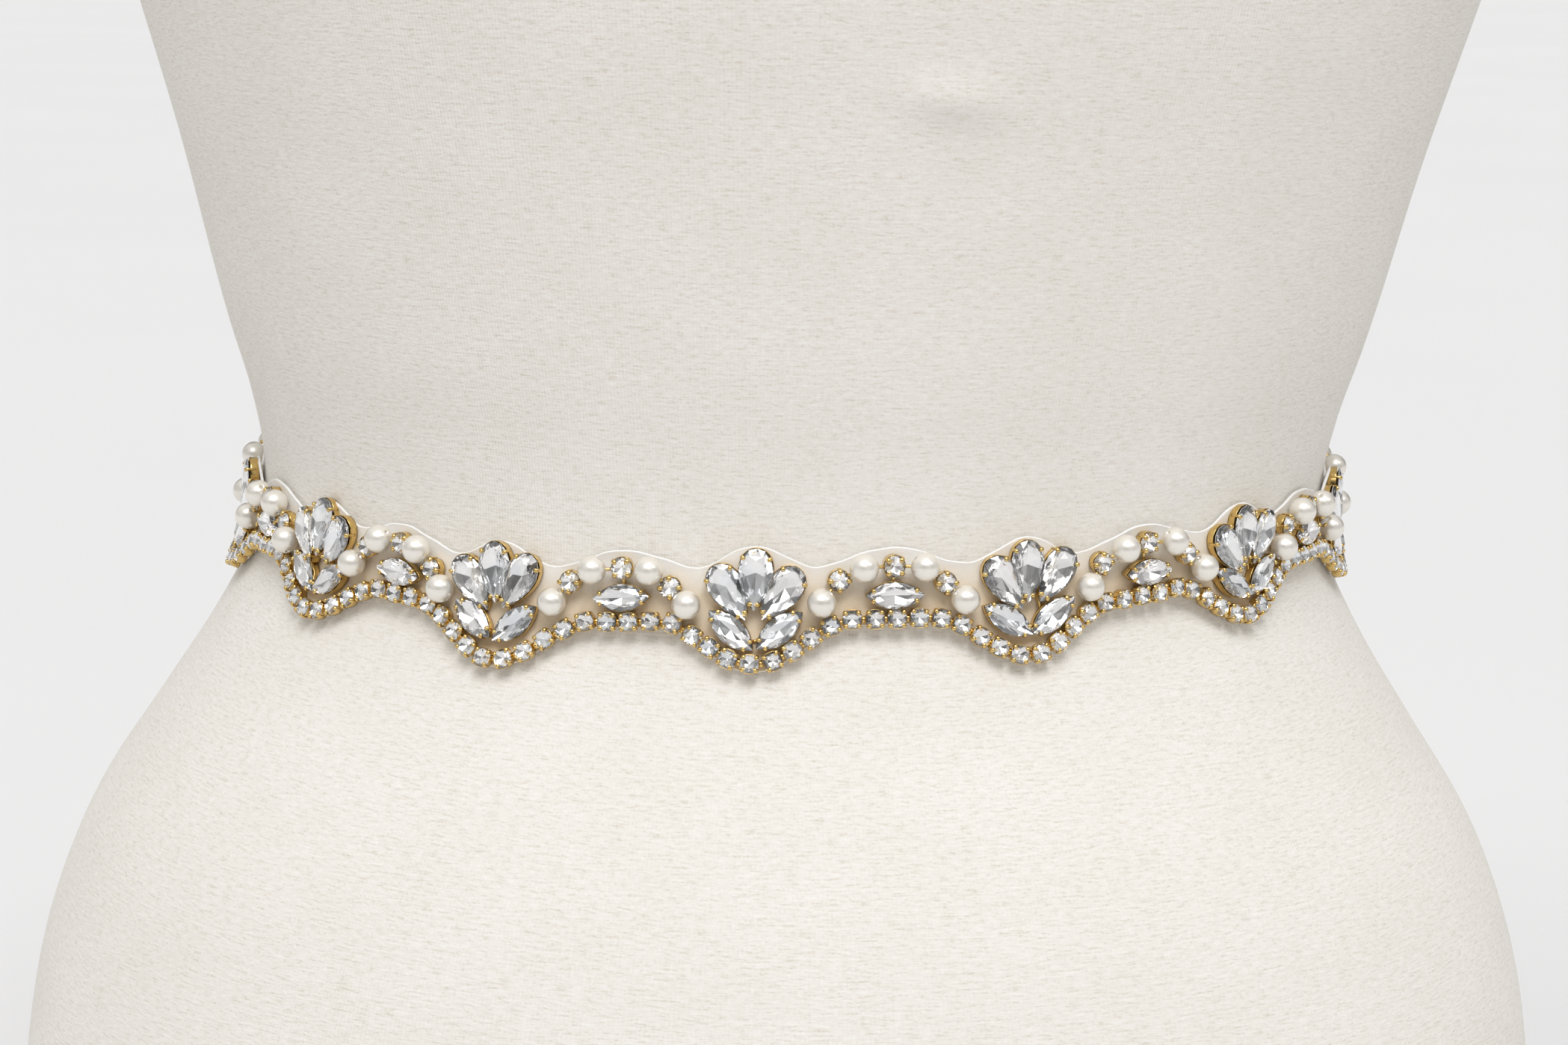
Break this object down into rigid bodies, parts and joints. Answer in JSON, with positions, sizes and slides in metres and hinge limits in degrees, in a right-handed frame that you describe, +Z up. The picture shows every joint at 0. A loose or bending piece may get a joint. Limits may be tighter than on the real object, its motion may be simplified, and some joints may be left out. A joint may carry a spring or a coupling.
{
  "type": "rhinestone belt on dress form",
  "caption": "Bridal belt of crystal fans, pearls and a gold cup chain sewn on scalloped ivory cloth, round the waist of a limbless jersey dress form.",
  "frame": {"origin": "middle of the flat underside of the dress form", "axes": "+Z up, -Y the front of the belt and form, +X the viewer's right from the front"},
  "size_m": [0.352, 0.25, 0.7],
  "materials": {
    "jersey": "matt knitted cotton jersey, cream, with fine cross slub",
    "ivory_cloth": "thin ivory cloth with a sealed edge",
    "ivory_satin": "ivory satin ribbon, soft sheen",
    "gold": "bright yellow gold plate",
    "crystal": "clear cut crystal with silver foil back, in gold claws",
    "pearl": "ivory pearl coat, soft gloss"
  },
  "bodies": {
    "root": {"dress_form": "jersey", "backing": "ivory_cloth", "ribbon_left": "ivory_satin", "ribbon_right": "ivory_satin", "cup_chain": "gold", "fan_1": "crystal", "fan_2": "crystal", "fan_3": "crystal", "fan_4": "crystal", "fan_5": "crystal", "fan_6": "crystal", "fan_7": "crystal", "link_1": "pearl", "link_2": "pearl", "link_3": "pearl", "link_4": "pearl", "link_5": "pearl", "link_6": "pearl", "link_7": "pearl", "link_8": "pearl", "closure_hook": "gold", "closure_eye": "gold"}
  },
  "joints": []
}
